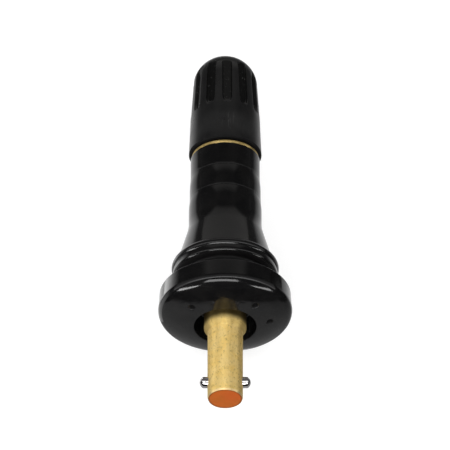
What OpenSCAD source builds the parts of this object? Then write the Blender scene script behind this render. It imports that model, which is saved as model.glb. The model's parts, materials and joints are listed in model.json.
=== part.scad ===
// Snap-in tyre valve: a rubber body moulded on a brass stem, with a pinned stem end that carries a
// pressure sensor, a screw-in valve core and a fluted dust cap.
// The valve lies along +Y, with the cap towards +Y and the pinned end towards -Y.
// The origin is on the axis, in the plane of the flange face that seats on the rim.
// Each piece is drawn upright, as radius and height above the seat, and then laid along +Y.

/* [Rim groove] */
// Diameter of the rim hole that the valve snaps into
rim_hole_d = 11.5; // [10.5:0.1:12.5]
// Rubber that the rim hole squeezes in on each side
rim_squeeze = 0.25; // [0.1:0.05:0.4]
// Width of the groove that holds the rim
groove_w = 2.8; // [2.4:0.1:4]
// Radius of the groove's inner corners
groove_fillet = 0.3; // [0.1:0.05:0.5]

/* [Flange] */
// How far the flange stands out over the groove
flange_out = 3.5; // [3:0.1:4.5]
// Height of the flange from its parting line to the seat
flange_h = 2.6; // [2:0.1:3.5]
// Draft on the flange's side, taken off the radius
flange_draft = 0.12; // [0.05:0.01:0.3]
// Step at the parting line, taken off the radius
parting_step = 0.08; // [0.04:0.01:0.15]
// Edge break around the seat
seat_edge = 0.1; // [0.05:0.05:0.3]
// Radius of the lip below the parting line
lip_r = 1.5; // [1:0.1:2]
// Slope of the underside where its dome meets the lip
lip_slope = 30; // [26:1:40]
// Height of the domed underside below the lip
dome_h = 1.3; // [1:0.1:1.5]

/* [Recess] */
// Gap between the stem's root and the recess's rim
recess_gap = 1.43; // [1:0.01:1.8]
// Depth of the recess
recess_depth = 3.5; // [2:0.1:4.5]
// Draft on the recess's wall, taken off the radius
recess_draft = 0.3; // [0.1:0.05:0.5]
// Diameter of each mould mark on the underside
mark_d = 1; // [0.4:0.1:1.2]
// Depth of each mould mark
mark_depth = 0.18; // [0.05:0.01:0.25]
// Distance of the mould marks from the recess's rim
mark_inset = 1.77; // [1:0.01:2.5]

/* [Neck] */
// How far the retaining bead stands out over the groove
bead_out = 1.6; // [1.2:0.1:2.2]
// Height of the retaining bead
bead_h = 2.27; // [2:0.01:3]
// Radius of the bead's top roll
bead_round = 0.65; // [0.5:0.05:0.75]
// Step from the bead's roll in to the band below it
bead_step = 0.15; // [0.1:0.01:0.25]
// Radius of the band's lower edge
bead_edge = 0.4; // [0.2:0.05:0.5]
// Ledge on top of the bead, from its edge to the flare
bead_ledge = 0.75; // [0.75:0.05:1]
// Height of the flare
flare_h = 6.93; // [6.2:0.01:9]
// Radius of the curve from the flare into the neck
flare_blend = 7.4; // [5:0.1:9]
// Thickness of the rubber around the stem at the top of the flare
neck_wall = 1.58; // [1.5:0.02:2.2]
// Height of each of the two lower bands of the neck
band_h = 3.6; // [3:0.1:4.5]
// Height of the top band of the neck
top_band_h = 3.5; // [3:0.1:4.5]
// Step between one band and the next, taken off the radius
band_step = 0.13; // [0.08:0.01:0.2]

/* [Stem] */
// Diameter of the stem's pinned end
stem_d = 5; // [4.8:0.1:5.4]
// Length of the stem's pinned end
stem_len = 11.1; // [9:0.1:14]
// Edge break at the end of the stem
stem_edge = 0.18; // [0.1:0.02:0.2]
// Step from the stem's root to its pinned end, on the radius
root_step = 0.5; // [0.3:0.05:0.8]
// Height of the root below the recess's rim
root_out = 0.45; // [0.3:0.05:2]
// Height of the slope from root to pinned end
root_slope = 0.65; // [0.4:0.05:1]
// How far the stem steps in under its collar, from the cap thread
bond_cut = 0.25; // [0.1:0.05:0.4]
// Height above the seat where the stem's slope to the root ends
bond_foot = 6; // [4:0.1:7]
// Height of that slope
bond_slope = 3; // [2:0.1:4]
// How far the collar that shows below the cap stands out over the cap thread
collar_out = 0.9; // [0.7:0.05:1.05]
// Height of the collar
collar_h = 0.6; // [0.4:0.05:1]
// Outer diameter of the cap thread
thread_d = 7.7; // [7.6:0.05:7.8]
// Length of the cap thread above the collar
thread_len = 8.7; // [8:0.1:9.4]
// Edge break at the mouth of the stem
tip_edge = 0.5; // [0.3:0.05:0.6]

/* [Cross pin] */
// Diameter of the cross pin
pin_d = 1.6; // [1.2:0.1:2]
// How far the cross pin stands out on each side of the stem
pin_out = 1.1; // [0.7:0.1:2]
// Distance from the stem's end to the pin's axis
pin_inset = 2.75; // [2.7:0.05:4.5]
// Height of the dome on each end of the pin
pin_dome = 0.45; // [0.2:0.05:0.6]

/* [Air way] */
// Diameter of the air bore through the stem
air_d = 2.4; // [2:0.1:2.6]
// Diameter of the side port that lets air into the tyre
port_d = 1.6; // [1:0.1:2]
// Distance from the root's slope to the port's axis
port_inset = 3; // [2:0.1:4]
// Width of the stem's rim around the end plug
plug_rim = 0.2; // [0.2:0.05:0.5]
// Height of the end plug's head
plug_head = 0.7; // [0.5:0.05:0.8]
// Length of the end plug's spigot inside the air bore
plug_spigot = 1; // [0.8:0.1:1]

/* [Valve core] */
// Diameter of the core's thread
core_d = 5.2; // [5.1:0.02:5.3]
// Distance from the stem's mouth to the top of the core plug
core_sunk = 0.8; // [0.5:0.05:1]
// Length of the core plug
core_plug_len = 5.7; // [5.4:0.1:6.2]
// Width of the core plug's tongue, which a core tool grips
tongue_w = 2.3; // [2.2:0.1:2.6]
// Height of the core plug's tongue
tongue_h = 1.8; // [1.6:0.1:2]
// Thickness of the tongue over the spring chamber
tongue_roof = 1.2; // [0.8:0.1:1.4]
// Wall of the core plug around the spring chamber
core_plug_wall = 1; // [0.9:0.05:1.1]
// Width of the conical seat in the stem
seat_w = 0.5; // [0.4:0.05:0.6]
// Height of the conical seat in the stem
seat_h = 2.4; // [2.2:0.1:3]
// Gap around the barrel's tube in the stem
barrel_gap = 0.4; // [0.3:0.05:0.45]
// Wall of the barrel's tube
barrel_wall = 0.6; // [0.5:0.05:0.65]
// Length of the barrel's tube
barrel_tube = 4.6; // [4:0.1:5]
// Height of the barrel's shoulder above the gasket
barrel_head = 0.4; // [0.3:0.05:0.5]
// Height of the barrel's spigot in the spring chamber
barrel_spigot = 0.6; // [0.4:0.05:0.8]
// How far the gasket's groove is cut into the barrel
gasket_cut = 0.1; // [0.05:0.05:0.2]
// Height of the gasket
gasket_h = 1.6; // [1.2:0.1:1.7]
// Height of the barrel's ring below the gasket
barrel_ring = 0.4; // [0.3:0.05:0.6]
// Diameter of the core pin
core_pin_d = 1.5; // [1.3:0.05:1.6]
// Distance from the stem's mouth to the tip of the core pin
core_pin_sunk = 0.3; // [0.1:0.05:0.4]
// Height of the spring collar on the core pin
pin_collar = 0.4; // [0.3:0.05:0.5]
// How far the riveted foot of the core pin stands out on each side
pin_foot_out = 0.35; // [0.2:0.05:0.5]
// Height of the riveted foot
pin_foot = 0.4; // [0.3:0.05:0.6]
// How far the core pin is pressed to open the valve
core_travel = 1.5; // [1:0.1:1.5]
// Room left below the core pin when it is pressed
core_room = 1; // [0.5:0.1:2]
// How far the washer that closes the barrel lies inside the barrel's edge
washer_inset = 0.2; // [0.1:0.05:0.3]
// Thickness of the washer
washer_h = 0.7; // [0.6:0.05:0.9]
// How far the washer stands out of its cup
washer_proud = 0.25; // [0.15:0.05:0.35]
// Wall of the cup around the washer
cup_wall = 0.22; // [0.2:0.02:0.3]
// Thickness of the cup's floor
cup_floor = 0.4; // [0.3:0.05:0.6]
// Diameter of the spring's wire
wire_d = 0.3; // [0.25:0.05:0.3]
// Turns of the spring
spring_turns = 4.5; // [3.5:0.5:5]

/* [Dust cap] */
// Wall of the cap at its rim
cap_wall = 1.22; // [1.1:0.02:1.6]
// Gap between the collar and the cap's rim
cap_gap = 0.3; // [0.2:0.05:0.6]
// Edge break around the cap's rim
cap_edge = 0.15; // [0.1:0.05:0.3]
// Wall of the cap where its skirt meets the fluted grip
grip_wall = 0.98; // [0.9:0.02:1.4]
// Height of the smooth skirt
skirt_h = 6.2; // [5:0.1:7]
// Wall of the cap where its grip meets the domed crown
crown_wall = 0.62; // [0.55:0.01:0.9]
// Height of the crown's centre above the seal's ledge
crown_rise = 2.26; // [1.5:0.02:3]
// Diameter of the flat on top of the crown
crown_flat_d = 3; // [2:0.1:4]
// Number of flutes around the grip
flute_count = 12; // [6:1:14]
// Width of each flute
flute_w = 1.46; // [1:0.02:1.6]
// Depth of each flute in its middle
flute_depth = 0.4; // [0.2:0.01:0.45]
// Radius of the corners at each flute's foot
flute_round = 0.45; // [0.2:0.05:0.6]
// Turn of the flutes from the top of the cap towards +X when the cap is home
flute_turn = 3.6; // [0:0.1:30]
// Width of the ledge that backs the cap's seal
ledge_w = 1.35; // [1.1:0.05:1.8]
// Thickness of the crown over the hollow above the seal
roof_h = 2.4; // [1.5:0.1:3]
// Thickness of the cap's seal
cap_seal_h = 1.1; // [0.8:0.1:1.2]

/* [Clearances] */
// Gap around a pressed or screwed piece
press_gap = 0.01; // [0.005:0.005:0.02]
// Gap between flat faces that meet on two moving pieces
face_gap = 0.02; // [0.01:0.01:0.05]
// Gap around a piece that slides or turns in another
run_gap = 0.1; // [0.05:0.01:0.1]

/* [Hidden] */
$fn = 96;
// Segments along each rounded stretch of an outline
arc_steps = 10;
// Length by which a cutting form runs past the face that it opens
overcut = 1;
// Directions of the mould marks around the underside, from +X towards +Z
mark_angles = [6, 48, 138];

// Heights above the seat, from the stem's end to the top of the cap
lip_s = -flange_h;
underside_s = lip_s - lip_r - dome_h;
recess_top_s = underside_s + recess_depth;
root_s = underside_s - root_out;
shank_s = root_s - root_slope;
end_s = shank_s - stem_len;
pin_s = end_s + pin_inset;
port_s = shank_s - port_inset;
bead_s = groove_w + bead_h;
flare_s = bead_s + flare_h;
band_s = flare_s + band_h;
top_band_s = band_s + band_h;
neck_top_s = top_band_s + top_band_h;
collar_s = neck_top_s + collar_h;
tip_s = collar_s + thread_len;
cap_s = collar_s + cap_gap;
grip_s = cap_s + skirt_h;
cap_seal_s = tip_s + face_gap;
cap_ledge_s = cap_seal_s + cap_seal_h + face_gap;
crown_s = cap_ledge_s + crown_rise;

// Heights inside the valve core, from its plug down to the air bore
core_top_s = tip_s - core_sunk;
chamber_top_s = core_top_s - tongue_roof;
core_plug_s = core_top_s - core_plug_len;
barrel_neck_s = core_plug_s - barrel_head;
barrel_ring_s = barrel_neck_s - gasket_h;
barrel_tube_s = barrel_ring_s - barrel_ring;
barrel_end_s = barrel_tube_s - barrel_tube;
seat_s = core_plug_s - press_gap;
core_bore_s = seat_s - seat_h;
washer_s = barrel_end_s - face_gap;
cup_rim_s = washer_s - washer_proud;
cup_inside_s = washer_s - washer_h;
cup_foot_s = cup_inside_s - cup_floor;
pin_end_s = cup_foot_s - pin_foot;
core_floor_s = pin_end_s - core_travel - core_room;
collar_top_s = chamber_top_s - 2 * run_gap;
spring_top_s = collar_top_s - pin_collar;
spring_foot_s = core_plug_s + barrel_spigot;

// Radii, from the pieces that set them to the pieces that follow
stem_r = stem_d / 2;
root_r = stem_r + root_step;
recess_r = root_r + recess_gap;
mark_r = recess_r + mark_inset;
groove_r = rim_hole_d / 2 + rim_squeeze;
flange_r = groove_r + flange_out;
seat_r = flange_r - parting_step - flange_draft;
bead_r = groove_r + bead_out;
flare_r = bead_r - bead_ledge;
thread_r = thread_d / 2;
collar_r = thread_r + collar_out;
bond_r = thread_r - bond_cut;
neck_r = bond_r + neck_wall;
top_neck_r = neck_r - 2 * band_step;
plug_r = stem_r - plug_rim;
air_r = air_d / 2;
core_r = core_d / 2;
core_thread_r = core_r + press_gap;
chamber_r = core_r - core_plug_wall;
core_bore_r = core_r - seat_w;
barrel_head_r = core_r - seat_w / 2;
barrel_ring_r = core_bore_r - barrel_gap / 2;
barrel_tube_r = core_bore_r - barrel_gap;
barrel_neck_r = barrel_tube_r - gasket_cut;
barrel_bore_r = barrel_tube_r - barrel_wall;
core_pin_r = core_pin_d / 2;
pin_foot_r = core_pin_r + pin_foot_out;
pin_collar_r = chamber_r - 2 * run_gap;
washer_r = barrel_tube_r - washer_inset;
cap_bore_r = thread_r + run_gap;
cap_r = cap_bore_r + cap_wall;
grip_r = cap_bore_r + grip_wall;
crown_r = cap_bore_r + crown_wall;
hollow_r = cap_bore_r - ledge_w;
crown_top_s = crown_s + sqrt(pow(crown_r, 2) - pow(crown_flat_d / 2, 2));

// Points of an arc, with 0 degrees pointing away from the axis and 90 degrees pointing up
function arc(centre, radius, from, to) =
    [for (i = [0:arc_steps]) centre + radius * [cos(from + (to - from) * i / arc_steps),
                                                sin(from + (to - from) * i / arc_steps)]];

// A list of points without its last one, which the next stretch of an outline starts with
function open_end(points) = [for (i = [0:len(points) - 2]) points[i]];

// Angle on a circle at which the straight line from a point touches it, on one side or the other
function touch_angle(point, centre, radius, side) =
    atan2(point[1] - centre[1], point[0] - centre[0]) + side * acos(radius / norm(point - centre));

// The underside is an arc from the recess's rim that runs smoothly into the lip's round
lip_centre = [flange_r - lip_r, lip_s];
recess_rim = [recess_r, underside_s];
lip_angle = lip_slope - 90;
lip_out = [cos(lip_angle), sin(lip_angle)];
dome_chord = recess_rim - lip_centre - lip_r * lip_out;
dome_r = -(dome_chord * dome_chord) / (2 * dome_chord * lip_out);
dome_centre = lip_centre + (lip_r - dome_r) * lip_out;
dome_angle = atan2(recess_rim[1] - dome_centre[1], recess_rim[0] - dome_centre[0]);
function underside_at(r) = dome_centre[1] - sqrt(pow(dome_r, 2) - pow(r - dome_centre[0], 2));

// The flare runs straight from the bead until it touches the curve into the neck
flare_centre = [neck_r + flare_blend, flare_s];
flare_angle = touch_angle([flare_r, bead_s], flare_centre, flare_blend, -1) + 360;

function flange_outline() = concat(
    open_end(arc(dome_centre, dome_r, dome_angle, lip_angle)),
    arc(lip_centre, lip_r, lip_angle, 0),
    [[flange_r - parting_step, lip_s], [seat_r, -seat_edge], [seat_r - seat_edge, 0]],
    arc([groove_r + groove_fillet, groove_fillet], groove_fillet, 270, 180),
    arc([groove_r + groove_fillet, groove_w - groove_fillet], groove_fillet, 180, 90));

// The bead is a roll above a band that is a little smaller
roll_angle = -acos(1 - bead_step / bead_round);
function bead_outline() = concat(
    arc([bead_r - bead_step - bead_edge, groove_w + bead_edge], bead_edge, -90, 0),
    arc([bead_r - bead_round, bead_s - bead_round], bead_round, roll_angle, 90));

function neck_outline() = concat(
    [[flare_r, bead_s]],
    arc(flare_centre, flare_blend, flare_angle, 180),
    [for (i = [1:2], up = [0, 1])
        [neck_r - band_step * (i - 1 + up), flare_s + band_h * i + band_step * (up - 1)]],
    [[top_neck_r + band_step, neck_top_s - band_step], [top_neck_r, neck_top_s]]);

function recess_outline() = [
    [0, recess_top_s],
    [recess_r - recess_draft, recess_top_s]];

// The stem's surface that the rubber is moulded to, from the root up to the collar
function bond_outline() = [
    [root_r, root_s],
    [root_r, bond_foot],
    [bond_r, bond_foot + bond_slope],
    [bond_r, neck_top_s]];

function stem_outline() = concat(
    [[0, end_s], [stem_r - stem_edge, end_s], [stem_r, end_s + stem_edge], [stem_r, shank_s]],
    bond_outline(),
    [[collar_r, neck_top_s], [collar_r, collar_s], [thread_r, collar_s],
     [thread_r, tip_s - tip_edge], [thread_r - tip_edge, tip_s], [0, tip_s]]);

function airway_outline() = [
    [0, end_s - overcut],
    [plug_r + press_gap, end_s - overcut],
    [plug_r + press_gap, end_s + plug_head],
    [air_r, end_s + plug_head],
    [air_r, core_floor_s - (core_bore_r - air_r)],
    [core_bore_r, core_floor_s],
    [core_bore_r, core_bore_s],
    [core_thread_r, seat_s],
    [core_thread_r, tip_s + overcut],
    [0, tip_s + overcut]];

// Lays an upright form along +Y, with its own -Y side turned to +Z
module along_axis() {
    rotate([-90, 0, 0])
        children();
}

module turned(outline) {
    rotate_extrude()
        polygon(outline);
}

module ring(outer_r, inner_r, from_s, to_s) {
    turned([[inner_r, from_s], [outer_r, from_s], [outer_r, to_s], [inner_r, to_s]]);
}

module mould_marks() {
    sphere_r = (pow(mark_d / 2, 2) + pow(mark_depth, 2)) / (2 * mark_depth);
    for (a = mark_angles)
        rotate([0, 0, -a])
            translate([mark_r, 0, underside_at(mark_r) + mark_depth - sphere_r])
                sphere(r = sphere_r);
}

module rubber_body() {
    color([0.06, 0.06, 0.065])
        along_axis()
            difference() {
                turned(concat(recess_outline(), flange_outline(), bead_outline(), neck_outline(),
                              [[0, neck_top_s]]));
                turned(concat([[0, root_s]], bond_outline(), [[bond_r, neck_top_s + overcut]],
                              [[0, neck_top_s + overcut]]));
                mould_marks();
            }
}

module valve_stem() {
    color([0.79, 0.67, 0.4])
        along_axis()
            difference() {
                turned(stem_outline());
                turned(airway_outline());
                translate([0, 0, pin_s])
                    rotate([0, 90, 0])
                        cylinder(d = pin_d + 2 * press_gap, h = stem_d + 2 * overcut, center = true);
                translate([0, 0, port_s])
                    rotate([-90, 0, 0])
                        cylinder(d = port_d, h = stem_d);
            }
}

// The pin's ends are shallow domes whose edges meet the pin's side
module cross_pin() {
    pin_r = pin_d / 2;
    dome_r = (pow(pin_r, 2) + pow(pin_dome, 2)) / (2 * pin_dome);
    dome_half = asin(pin_r / dome_r);
    dome_s = stem_r + pin_out - dome_r;
    color([0.78, 0.79, 0.81])
        along_axis()
            translate([0, 0, pin_s])
                rotate([0, 90, 0])
                    turned(concat(arc([0, -dome_s], dome_r, -90, dome_half - 90),
                                  arc([0, dome_s], dome_r, 90 - dome_half, 90)));
}

module end_plug() {
    color([0.75, 0.36, 0.14])
        along_axis()
            turned([[0, end_s], [plug_r, end_s], [plug_r, end_s + plug_head - press_gap],
                    [air_r - press_gap, end_s + plug_head - press_gap],
                    [air_r - press_gap, end_s + plug_head + plug_spigot],
                    [0, end_s + plug_head + plug_spigot]]);
}

// The tongue bridges the spring chamber, which stays open to the air on both sides of it
module core_plug() {
    color([0.8, 0.69, 0.42])
        along_axis()
            difference() {
                ring(core_r, core_pin_r + run_gap, core_plug_s, core_top_s);
                for (side = [-1, 1])
                    translate([side * (tongue_w + core_d) / 2, 0, core_top_s - tongue_h / 2 + overcut / 2])
                        cube([core_d, 2 * core_d, tongue_h + overcut], center = true);
                translate([0, 0, core_plug_s - overcut])
                    cylinder(r = chamber_r, h = chamber_top_s - core_plug_s + overcut);
            }
}

module core_barrel() {
    spigot_r = chamber_r - press_gap;
    color([0.77, 0.65, 0.38])
        along_axis()
            turned([[barrel_bore_r, spring_foot_s], [spigot_r, spring_foot_s],
                    [spigot_r, seat_s], [barrel_head_r, seat_s],
                    [barrel_head_r, barrel_neck_s], [barrel_neck_r, barrel_neck_s],
                    [barrel_neck_r, barrel_ring_s], [barrel_ring_r, barrel_ring_s],
                    [barrel_ring_r, barrel_tube_s], [barrel_tube_r, barrel_tube_s],
                    [barrel_tube_r, barrel_end_s], [barrel_bore_r, barrel_end_s]]);
}

// The gasket fills the space between the barrel's neck and the stem's conical seat
module core_gasket() {
    taper = (core_thread_r - core_bore_r) / seat_h;
    inner_r = barrel_neck_r + press_gap;
    top_r = core_thread_r - taper * (seat_s - barrel_neck_s) - face_gap;
    foot_r = core_thread_r - taper * (seat_s - barrel_ring_s) - face_gap;
    color([0.7, 0.12, 0.1])
        along_axis()
            turned([[inner_r, barrel_ring_s], [foot_r, barrel_ring_s],
                    [top_r, barrel_neck_s], [inner_r, barrel_neck_s]]);
}

module core_pin() {
    tip_round = core_pin_r / 2;
    pin_top_s = tip_s - core_pin_sunk;
    color([0.8, 0.69, 0.42])
        along_axis()
            turned(concat(
                [[0, pin_end_s], [pin_foot_r, pin_end_s], [pin_foot_r, cup_foot_s],
                 [core_pin_r, cup_foot_s], [core_pin_r, spring_top_s],
                 [pin_collar_r, spring_top_s], [pin_collar_r, collar_top_s],
                 [core_pin_r, collar_top_s]],
                arc([core_pin_r - tip_round, pin_top_s - tip_round], tip_round, 0, 90),
                [[0, pin_top_s]]));
}

module core_washer() {
    color([0.1, 0.1, 0.1])
        along_axis()
            ring(washer_r, core_pin_r + press_gap, cup_inside_s, washer_s);
}

module core_cup() {
    inner_r = washer_r + press_gap;
    hole_r = core_pin_r + press_gap;
    color([0.77, 0.65, 0.38])
        along_axis()
            turned([[hole_r, cup_foot_s], [inner_r + cup_wall, cup_foot_s],
                    [inner_r + cup_wall, cup_rim_s], [inner_r, cup_rim_s],
                    [inner_r, cup_inside_s], [hole_r, cup_inside_s]]);
}

// A helix of round wire, swept as a tube, with its ends just clear of the faces that it pushes on
module core_spring() {
    sides = 8;
    rings_per_turn = 16;
    rings = round(spring_turns * rings_per_turn);
    wire_r = wire_d / 2;
    coil_r = (core_pin_r + chamber_r) / 2;
    foot_s = spring_foot_s + wire_r + face_gap;
    rise = spring_top_s - spring_foot_s - wire_d - 2 * face_gap;
    points = [for (i = [0:rings], k = [0:sides - 1])
        let (turn = 360 * i / rings_per_turn, side = 360 * k / sides, r = coil_r + wire_r * cos(side))
            [r * cos(turn), r * sin(turn), foot_s + rise * i / rings + wire_r * sin(side)]];
    walls = [for (i = [0:rings - 1], k = [0:sides - 1])
        let (a = i * sides + k, b = i * sides + (k + 1) % sides)
            [a, a + sides, b + sides, b]];
    foot = [for (k = [0:sides - 1]) k];
    top = [for (k = [0:sides - 1]) rings * sides + sides - 1 - k];
    color([0.72, 0.73, 0.75])
        along_axis()
            polyhedron(points = points, faces = concat(walls, [foot, top]));
}

module cap_seal() {
    color([0.14, 0.14, 0.14])
        along_axis()
            translate([0, 0, cap_seal_s])
                cylinder(r = cap_bore_r - face_gap, h = cap_seal_h);
}

function cap_outline() = concat(
    [[0, cap_s], [cap_r - cap_edge, cap_s], [cap_r, cap_s + cap_edge], [grip_r, grip_s]],
    arc([0, crown_s], crown_r, 0, acos(crown_flat_d / 2 / crown_r)),
    [[0, crown_top_s]]);

function cap_bore_outline() = [
    [0, cap_s - overcut],
    [cap_bore_r, cap_s - overcut],
    [cap_bore_r, cap_ledge_s],
    [hollow_r, cap_ledge_s],
    [hollow_r, crown_top_s - roof_h],
    [0, crown_top_s - roof_h]];

// The face of a flute, with its foot at the origin
module flute_face() {
    flute_len = crown_top_s - grip_s + overcut;
    translate([-flute_w / 2, flute_round])
        square([flute_w, flute_len - flute_round]);
    translate([flute_round - flute_w / 2, 0])
        square([flute_w - 2 * flute_round, flute_len]);
    for (side = [-1, 1])
        translate([side * (flute_w / 2 - flute_round), flute_round])
            circle(r = flute_round);
}

// One flute, with a flat floor that leans with the grip's taper and runs out through the dome
module flute() {
    lean = atan2(grip_r - crown_r, crown_s - grip_s);
    translate([grip_r - flute_depth, 0, grip_s])
        rotate([0, -lean, 0])
            rotate([90, 0, 90])
                linear_extrude(height = flute_depth + overcut)
                    flute_face();
}

module dust_cap() {
    color([0.1, 0.1, 0.105])
        along_axis()
            difference() {
                turned(cap_outline());
                turned(cap_bore_outline());
                for (i = [0:flute_count - 1])
                    rotate([0, 0, 360 * i / flute_count + flute_turn - 90])
                        flute();
            }
}

rubber_body();
valve_stem();
cross_pin();
end_plug();
core_plug();
core_barrel();
core_gasket();
core_pin();
core_spring();
core_washer();
core_cup();
cap_seal();
dust_cap();
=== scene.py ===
"""Looks of a snap-in tyre valve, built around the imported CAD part.

The valve lies along +Y with its cap away from the camera. Sizes are in millimetres and become
metres when a mesh is made. psi is the angle around the axis, from +Z towards +X, and s is the
height along +Y above the flange face that seats on the rim. An outline is a list of (r, s).
"""
import json
import math

import bpy
import numpy as np
from mathutils import Matrix, Vector

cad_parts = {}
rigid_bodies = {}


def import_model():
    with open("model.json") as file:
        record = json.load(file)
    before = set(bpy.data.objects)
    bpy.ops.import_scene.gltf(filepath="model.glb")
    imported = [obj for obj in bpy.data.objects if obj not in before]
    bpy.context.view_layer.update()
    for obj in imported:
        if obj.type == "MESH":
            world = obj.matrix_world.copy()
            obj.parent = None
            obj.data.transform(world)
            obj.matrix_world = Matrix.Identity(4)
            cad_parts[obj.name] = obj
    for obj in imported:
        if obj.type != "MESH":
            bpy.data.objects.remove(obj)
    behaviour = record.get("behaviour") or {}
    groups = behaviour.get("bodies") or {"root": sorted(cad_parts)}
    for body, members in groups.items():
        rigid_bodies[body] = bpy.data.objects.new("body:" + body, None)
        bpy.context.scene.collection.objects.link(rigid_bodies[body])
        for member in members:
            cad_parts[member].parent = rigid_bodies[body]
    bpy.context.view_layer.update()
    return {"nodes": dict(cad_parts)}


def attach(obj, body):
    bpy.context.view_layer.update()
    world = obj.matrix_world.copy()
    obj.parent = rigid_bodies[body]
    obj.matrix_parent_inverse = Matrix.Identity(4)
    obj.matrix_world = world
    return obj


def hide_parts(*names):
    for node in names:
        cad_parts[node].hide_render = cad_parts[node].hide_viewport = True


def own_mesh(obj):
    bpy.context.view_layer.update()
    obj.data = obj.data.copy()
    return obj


MM = 0.001
TAU = 2 * math.pi

for leftover in list(bpy.data.objects):
    bpy.data.objects.remove(leftover)
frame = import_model()

# Stem, plug and pin. The plug is wider than in the CAD part, and the stem's edge is steeper
END_S = -17.6
STEM_R = 2.5
STEM_EDGE = 0.1
EDGE_LEN = 0.28
SHANK_S = -6.5
ROOT_S = -5.85
ROOT_R = 3.0
ROOT_ROUND = 0.25
BOND_LOW_S = 6.0
BOND_HIGH_S = 9.0
BOND_R = 3.6
COLLAR_S = 23.3
COLLAR_R = 4.75
COLLAR_ROUND = 0.6
TIP_S = 32.0
TIP_EDGE = 0.5
THREAD_R = 3.85
THREAD_PITCH = 0.794
THREAD_DEPTH = 0.42
THREAD_GAP = 0.1
CORE_THREAD_R = 2.61
CORE_THREAD_S = 25.49
CORE_SEAT_S = 23.09
CORE_BORE_R = 2.1
CORE_BORE_S = 14.48
AIR_R = 1.2
AIR_S = 13.58
PORT_S = -9.5
PORT_R = 0.8
PORT_LEN = 4.0
PLUG_R = 2.37
PLUG_HEAD = 0.7
PLUG_LEN = 1.7
PLUG_GAP = 0.01
PIN_S = -14.85
PIN_R = 0.8
PIN_HALF = 3.6
PIN_DOME = 0.45
PIN_ROUND = 0.12

# Rubber. The groove's edge and the bead are about 0.1 mm lower than in the CAD part
RECESS_S = -1.9
RECESS_R = 4.43
RECESS_FLOOR_R = 4.13
UNDERSIDE_S = -5.4
LIP_S = -2.6
LIP_ROUND = 1.5
LIP_ANGLE = -60
FLANGE_R = 9.494
PARTING_R = 9.42
SEAT_R = 9.3
GROOVE_S = 2.7
GROOVE_R = 6.0
GROOVE_FILLET = 0.3
BEAD_S = 4.99
BEAD_R = 7.6
BEAD_ROUND = 0.65
BEAD_STEP = 0.15
BEAD_EDGE = 0.4
BEAD_BAND = 0.62
FLARE_S = 12.0
FLARE_R = 6.85
FLARE_BLEND = 7.4
FLARE_FILLET = 0.15
BAND_S = 15.6
TOP_BAND_S = 19.2
BAND_STEP = 0.13
STEP_LEN = 1.8
RIDGE_H = 0.02
RIDGE_W = 0.16
NECK_S = 22.7
NECK_R = 5.18
MARK_R = 6.3
MARK_D = 1.06
MARK_DEPTH = 0.2
MARK_ANGLES = (6, 48, 138)

# Cap
CAP_S = 23.6
CAP_R = 5.17
CAP_EDGE = 0.15
CAP_BORE_R = 3.95
MOUTH_GAP = 0.02
GRIP_S = 29.8
GRIP_R = 4.93
GRIP_BLEND = 3.0
LEDGE_S = 33.14
CROWN_S = 35.40
CROWN_R = 4.57
CROWN_TOP_S = 39.7167
CROWN_FLAT_R = 1.5
CROWN_RINGS = (1.42, 1.3, 0.9, 0.45)
CROWN_WALL = 2.4
HOLLOW_R = 2.6
HOLLOW_EDGE = 0.1
FLUTES = 12
FLUTE_W = 1.46
FLUTE_DEPTH = 0.4
FLUTE_ROUND = 0.45
FLUTE_TURN = math.radians(3.6)
FLUTE_WALL = 0.15
FLUTE_FOOT = 0.3
FLUTE_END_R = 4.0

# Spring of the core
SPRING_WIRE_R = 0.15
SPRING_COIL_R = 1.175
SPRING_FOOT_S = 26.1
SPRING_TOP_S = 29.4
SPRING_TURNS = 4.5
SPRING_GAP = 0.02

# Fineness of the meshes: columns around the axis, rows a pitch of thread and the angle of a sharp edge
RUBBER_COLUMNS = 200
MARK_COLUMNS = 29
MARK_SPAN = 0.1
STEM_COLUMNS = 144
PORT_COLUMNS = 48
PIN_COLUMNS = 72
PLUG_COLUMNS = 120
CAP_THREAD_COLUMNS = 120
STEM_THREAD_ROWS = 14
CAP_THREAD_ROWS = 12
SPRING_RINGS = 150
SPRING_SIDES = 14
SHARP = 35
STEM_SHARP = 40
CAP_SHARP = 50
ROUND_SHARP = 60


# Mesh helpers

def smooth(t):
    """0 to 1 for t from 0 to 1, level at both ends."""
    return t * t * (3 - 2 * t)


def arc(centre, radius, start, stop, steps):
    """Points of an arc in the (r, s) plane, with 0 degrees away from the axis and 90 degrees up."""
    turn = np.radians(np.linspace(start, stop, steps + 1))
    return [(centre[0] + radius * math.cos(t), centre[1] + radius * math.sin(t)) for t in turn]


def touch_angle(point, centre, radius, side):
    """Angle on a circle at which the straight line from a point touches it."""
    gap = (point[0] - centre[0], point[1] - centre[1])
    return math.degrees(math.atan2(gap[1], gap[0]) + side * math.acos(radius / math.hypot(*gap)))


def corner_arc(before, here, after, radius, steps):
    """Points that round one corner, by the radius or by less where its sides are short."""
    longest_share = 0.45
    before = before - here
    after = after - here
    room = longest_share * min(np.linalg.norm(before), np.linalg.norm(after))
    before /= np.linalg.norm(before)
    after /= np.linalg.norm(after)
    half = 0.5 * math.acos(max(-1.0, min(1.0, float(before @ after))))
    reach = min(radius / math.tan(half), room)
    radius = reach * math.tan(half)
    middle = before + after
    centre = here + middle / np.linalg.norm(middle) * radius / math.sin(half)
    first = here + before * reach - centre
    final = here + after * reach - centre
    swing = math.atan2(first[0] * final[1] - first[1] * final[0], float(first @ final))
    points = []
    for t in np.linspace(0, swing, steps + 1):
        r = first[0] * math.cos(t) - first[1] * math.sin(t)
        s = first[0] * math.sin(t) + first[1] * math.cos(t)
        points.append((centre[0] + r, centre[1] + s))
    return points


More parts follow.
